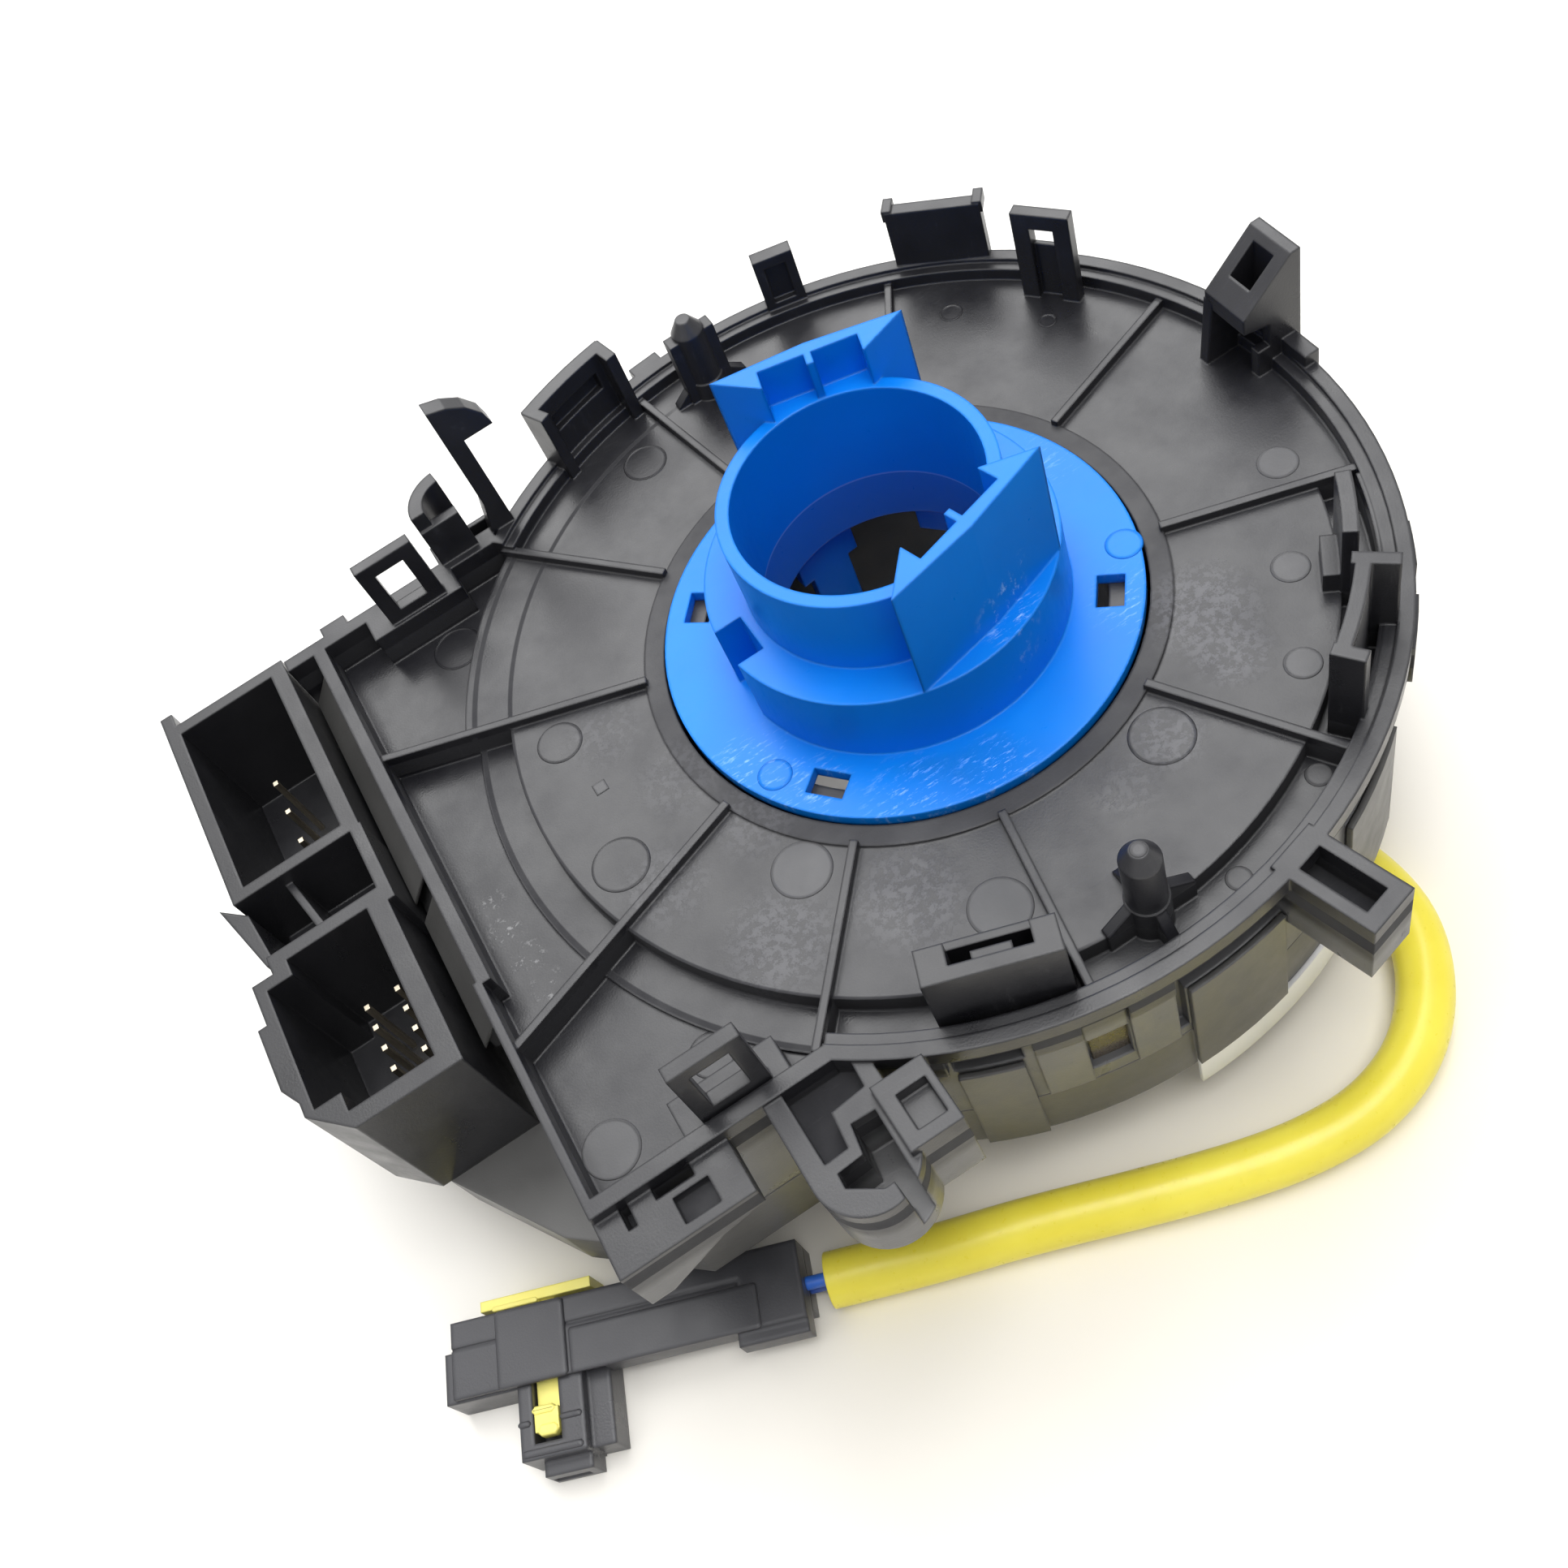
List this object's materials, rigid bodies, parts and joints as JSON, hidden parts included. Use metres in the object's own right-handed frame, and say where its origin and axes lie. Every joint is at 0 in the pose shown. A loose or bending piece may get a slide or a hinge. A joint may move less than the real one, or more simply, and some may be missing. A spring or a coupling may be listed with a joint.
{
  "type": "steering clock spring",
  "caption": "Rotary cable unit for a steering column, with clip-studded black stator, blue cancelling cam, two sockets and a yellow airbag lead with its plug.",
  "frame": {"origin": "on the rotor's axis, in the top face of the cancelling cam's flange", "axes": "+Z along the rotor's axis towards the column; -X points to the stator's sockets"},
  "size_m": [0.145, 0.1222, 0.0633],
  "materials": {
    "black_plastic": "satin",
    "case_plastic": "satin",
    "socket_plastic": "satin",
    "rotor_plastic": "satin",
    "insert_plastic": "matte",
    "carrier_plastic": "satin",
    "roller_plastic": "satin",
    "blue_plastic": "satin",
    "white_strip": "matte",
    "slip_film": "gloss",
    "ribbon_film": "gloss",
    "pin_metal": "polished",
    "yellow_sleeve": "satin",
    "blue_wire": "satin",
    "grey_wire": "satin",
    "plug_plastic": "satin",
    "yellow_lock": "satin",
    "ferrite": "matte"
  },
  "bodies": {
    "stator": {"column_cover": "black_plastic", "outer_case": "case_plastic", "socket_block": "socket_plastic", "signal_pins": "pin_metal", "airbag_pins": "pin_metal", "stator_lead_block": "insert_plastic", "upper_slip_film": "slip_film", "flat_cable": "ribbon_film", "centring_label": "white_strip"},
    "rotor": {"rotor_hub": "rotor_plastic", "cancel_cam": "blue_plastic", "switch_socket": "rotor_plastic", "switch_pins": "pin_metal", "horn_socket": "rotor_plastic", "horn_pins": "pin_metal", "rotor_lead_block": "insert_plastic", "airbag_sleeve": "yellow_sleeve", "airbag_wire_a": "blue_wire", "airbag_wire_b": "grey_wire", "plug_body": "plug_plastic", "plug_cover": "plug_plastic", "plug_contacts": "pin_metal", "plug_ferrite": "ferrite"},
    "lock": {"plug_lock": "yellow_lock"},
    "carrier": {"cable_carrier": "carrier_plastic"},
    "roller_1": {"roller_1": "roller_plastic"},
    "roller_2": {"roller_2": "roller_plastic"},
    "roller_3": {"roller_3": "roller_plastic"},
    "roller_4": {"roller_4": "roller_plastic"},
    "roller_5": {"roller_5": "roller_plastic"},
    "roller_6": {"roller_6": "roller_plastic"}
  },
  "joints": [
    {"name": "rotor_turn", "type": "hinge", "parent": "stator", "child": "rotor", "pos_m": [0, 0, 0], "axis": [0, 0, 1], "range_deg": [-900, 900], "deforming": ["flat_cable"]},
    {"name": "carrier_turn", "type": "hinge", "parent": "stator", "child": "carrier", "pos_m": [0, 0, -0.0235], "axis": [0, 0, 1], "range_deg": [-386, 386]},
    {"name": "roller_1_spin", "type": "hinge", "parent": "carrier", "child": "roller_1", "pos_m": [-0.04155, 0, -0.0185], "axis": [0, 0, 1], "range_deg": [-2997, 2997]},
    {"name": "roller_2_spin", "type": "hinge", "parent": "carrier", "child": "roller_2", "pos_m": [-0.02077, -0.03598, -0.0185], "axis": [0, 0, 1], "range_deg": [-2997, 2997]},
    {"name": "roller_3_spin", "type": "hinge", "parent": "carrier", "child": "roller_3", "pos_m": [0.02077, -0.03598, -0.0185], "axis": [0, 0, 1], "range_deg": [-2997, 2997]},
    {"name": "roller_4_spin", "type": "hinge", "parent": "carrier", "child": "roller_4", "pos_m": [0.04155, 0, -0.0185], "axis": [0, 0, 1], "range_deg": [-2997, 2997]},
    {"name": "roller_5_spin", "type": "hinge", "parent": "carrier", "child": "roller_5", "pos_m": [0.02077, 0.03598, -0.0185], "axis": [0, 0, 1], "range_deg": [-2997, 2997]},
    {"name": "roller_6_spin", "type": "hinge", "parent": "carrier", "child": "roller_6", "pos_m": [-0.02077, 0.03598, -0.0185], "axis": [0, 0, 1], "range_deg": [-2997, 2997]},
    {"name": "plug_lock_slide", "type": "slide", "parent": "rotor", "child": "lock", "axis": [0.3469, 0.9379, 0], "range_m": [0, 0.0022]}
  ],
  "couplings": [
    {"joint": "carrier_turn", "follows": "rotor_turn", "ratio": 0.42238},
    {"joint": "roller_1_spin", "follows": "rotor_turn", "ratio": -3.3237},
    {"joint": "roller_2_spin", "follows": "rotor_turn", "ratio": -3.3237},
    {"joint": "roller_3_spin", "follows": "rotor_turn", "ratio": -3.3237},
    {"joint": "roller_4_spin", "follows": "rotor_turn", "ratio": -3.3237},
    {"joint": "roller_5_spin", "follows": "rotor_turn", "ratio": -3.3237},
    {"joint": "roller_6_spin", "follows": "rotor_turn", "ratio": -3.3237}
  ]
}
